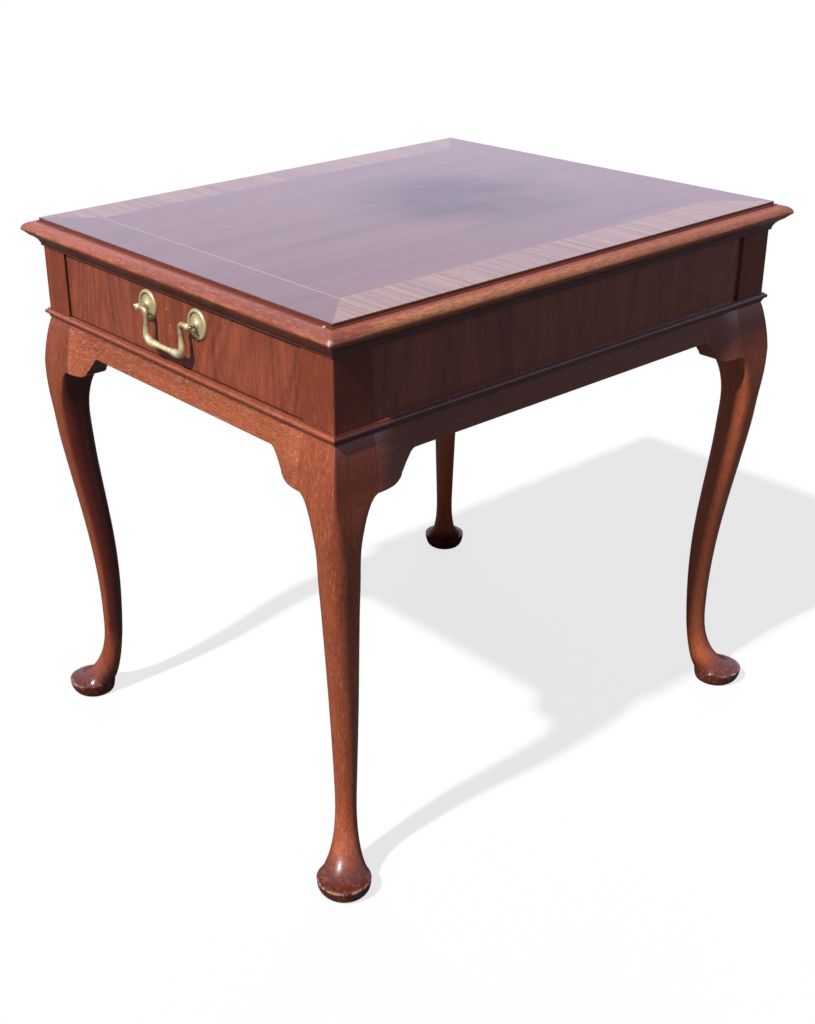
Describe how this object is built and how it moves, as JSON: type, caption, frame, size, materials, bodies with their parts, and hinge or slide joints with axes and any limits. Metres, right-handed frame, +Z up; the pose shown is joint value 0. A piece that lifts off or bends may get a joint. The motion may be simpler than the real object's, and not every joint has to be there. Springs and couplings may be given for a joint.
{
  "type": "side table",
  "caption": "Side table with a crossbanded veneer top, moulded edge, brass bail pull on an end drawer, and cabriole legs on pad feet.",
  "frame": {"origin": "On the floor plane, under the middle of the box round the whole table.", "axes": "+Z up. The drawer end faces -Y and the drawer opens along -Y. +X runs across the table to the right of someone who faces the drawer, along the short side of the top. +Y runs along the long side of the top, away from the drawer."},
  "size_m": [0.5578, 0.6728, 0.61],
  "materials": {
    "mahogany": "stained and lacquered, satin, open pores",
    "field_veneer": "lacquered, semi-gloss",
    "crossband_veneer": "lacquered, semi-gloss",
    "stringing": "lacquered, semi-gloss",
    "drawer_veneer": "stained and lacquered, satin",
    "drawer_lining": "planed and waxed",
    "secondary_wood": "planed, unfinished",
    "brass": "polished, lightly tarnished",
    "steel": "plain"
  },
  "bodies": {
    "table": {"top_core": "secondary_wood", "top_field_veneer": "field_veneer", "crossband_front": "crossband_veneer", "crossband_right": "crossband_veneer", "crossband_back": "crossband_veneer", "crossband_left": "crossband_veneer", "stringing_lines": "stringing", "top_edge_front": "mahogany", "top_edge_right": "mahogany", "top_edge_back": "mahogany", "top_edge_left": "mahogany", "cove_moulding_front": "mahogany", "cove_moulding_right": "mahogany", "cove_moulding_back": "mahogany", "cove_moulding_left": "mahogany", "waist_moulding_front": "mahogany", "waist_moulding_right": "mahogany", "waist_moulding_back": "mahogany", "waist_moulding_left": "mahogany", "leg_front_left": "mahogany", "leg_front_right": "mahogany", "leg_back_left": "mahogany", "leg_back_right": "mahogany", "apron_front": "mahogany", "apron_right": "mahogany", "apron_back": "mahogany", "apron_left": "mahogany", "knee_block_front_left": "mahogany", "knee_block_front_right": "mahogany", "knee_block_right_front": "mahogany", "knee_block_right_back": "mahogany", "knee_block_back_right": "mahogany", "knee_block_back_left": "mahogany", "knee_block_left_back": "mahogany", "knee_block_left_front": "mahogany", "frieze_panel_right": "mahogany", "frieze_panel_back": "mahogany", "frieze_panel_left": "mahogany", "drawer_top_rail": "secondary_wood", "drawer_bearer": "secondary_wood", "drawer_runner_left": "secondary_wood", "drawer_runner_right": "secondary_wood", "drawer_kicker_left": "secondary_wood", "drawer_kicker_right": "secondary_wood", "drawer_stops": "secondary_wood", "corner_blocks": "secondary_wood", "corner_screws": "steel", "runner_screws": "steel", "top_screws": "steel"},
    "drawer": {"drawer_front": "secondary_wood", "drawer_front_veneer": "drawer_veneer", "drawer_side_left": "drawer_lining", "drawer_side_right": "drawer_lining", "drawer_back": "drawer_lining", "drawer_bottom": "drawer_lining", "pull_rosettes": "brass", "pull_posts": "brass", "pull_nuts": "brass"},
    "bail": {"pull_bail": "brass"}
  },
  "joints": [
    {"name": "drawer_slide", "type": "slide", "parent": "table", "child": "drawer", "axis": [0, -1, 0], "range_m": [0, 0.4]},
    {"name": "bail_swing", "type": "hinge", "parent": "drawer", "child": "bail", "pos_m": [0, -0.3208, 0.558], "axis": [-1, 0, 0], "range_deg": [-12, 164]}
  ]
}
